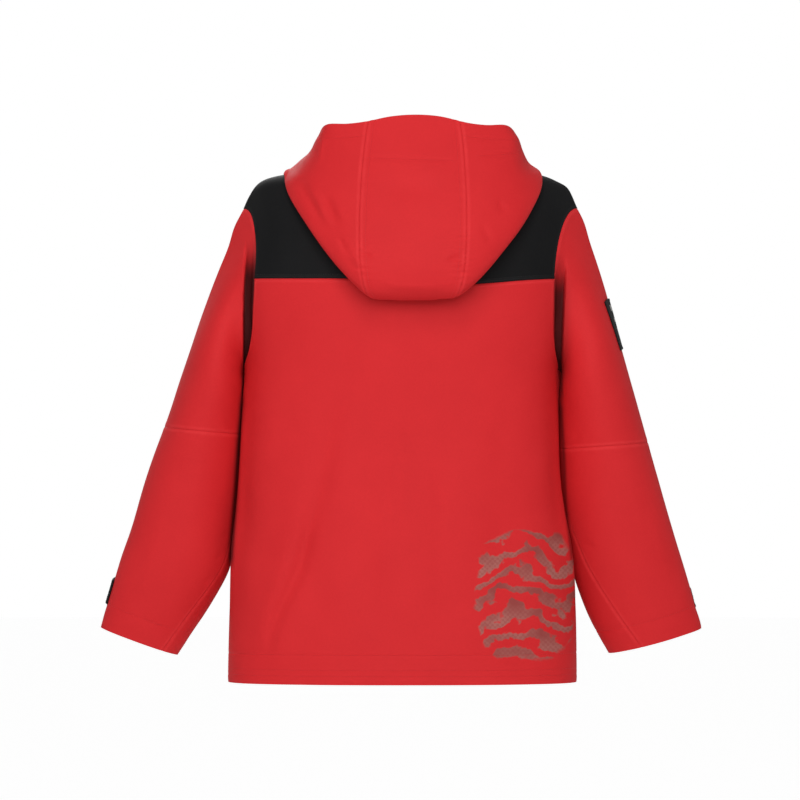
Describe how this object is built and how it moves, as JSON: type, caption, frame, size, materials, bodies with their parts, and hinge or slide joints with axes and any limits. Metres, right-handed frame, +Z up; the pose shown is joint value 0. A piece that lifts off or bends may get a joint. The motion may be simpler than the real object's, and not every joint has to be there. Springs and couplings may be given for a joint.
{
  "type": "hooded jacket",
  "caption": "Hooded zip-front shell jacket with contrast shoulder yokes, its hood laid back on the shoulders, hollow and filled out as if worn.",
  "frame": {"origin": "over the middle of the hem, at the height and depth where the shoulder seams meet the neck, which is where a wearer's shoulders and neck carry the jacket", "axes": "+Z up, the front faces -Y, +X is the wearer's left"},
  "size_m": [0.8097, 0.3147, 0.7626],
  "materials": {
    "red_shell": "matt woven shell fabric",
    "black_shell": "matt woven shell fabric",
    "black_trim": "dense woven trim",
    "dark_metal": "satin dark coating"
  },
  "bodies": {
    "jacket": {"back": "red_shell", "front_left": "red_shell", "front_right": "red_shell", "sleeve_upper_left": "red_shell", "sleeve_upper_right": "red_shell", "sleeve_lower_left": "red_shell", "sleeve_lower_right": "red_shell", "hood_centre": "red_shell", "hood_left": "red_shell", "hood_right": "red_shell", "back_yoke": "black_shell", "front_yoke_left": "black_shell", "front_yoke_right": "black_shell", "sleeve_patch": "black_trim", "cuff_tab_left": "black_trim", "cuff_tab_right": "black_trim", "front_zip": "black_trim", "zip_slider": "dark_metal"},
    "pull": {"zip_pull": "dark_metal"}
  },
  "joints": [
    {"name": "zip_pull_hinge", "type": "hinge", "parent": "jacket", "child": "pull", "pos_m": [-0.0105, -0.1153, -0.037], "axis": [-1, 0, 0], "range_deg": [0, 150]}
  ]
}
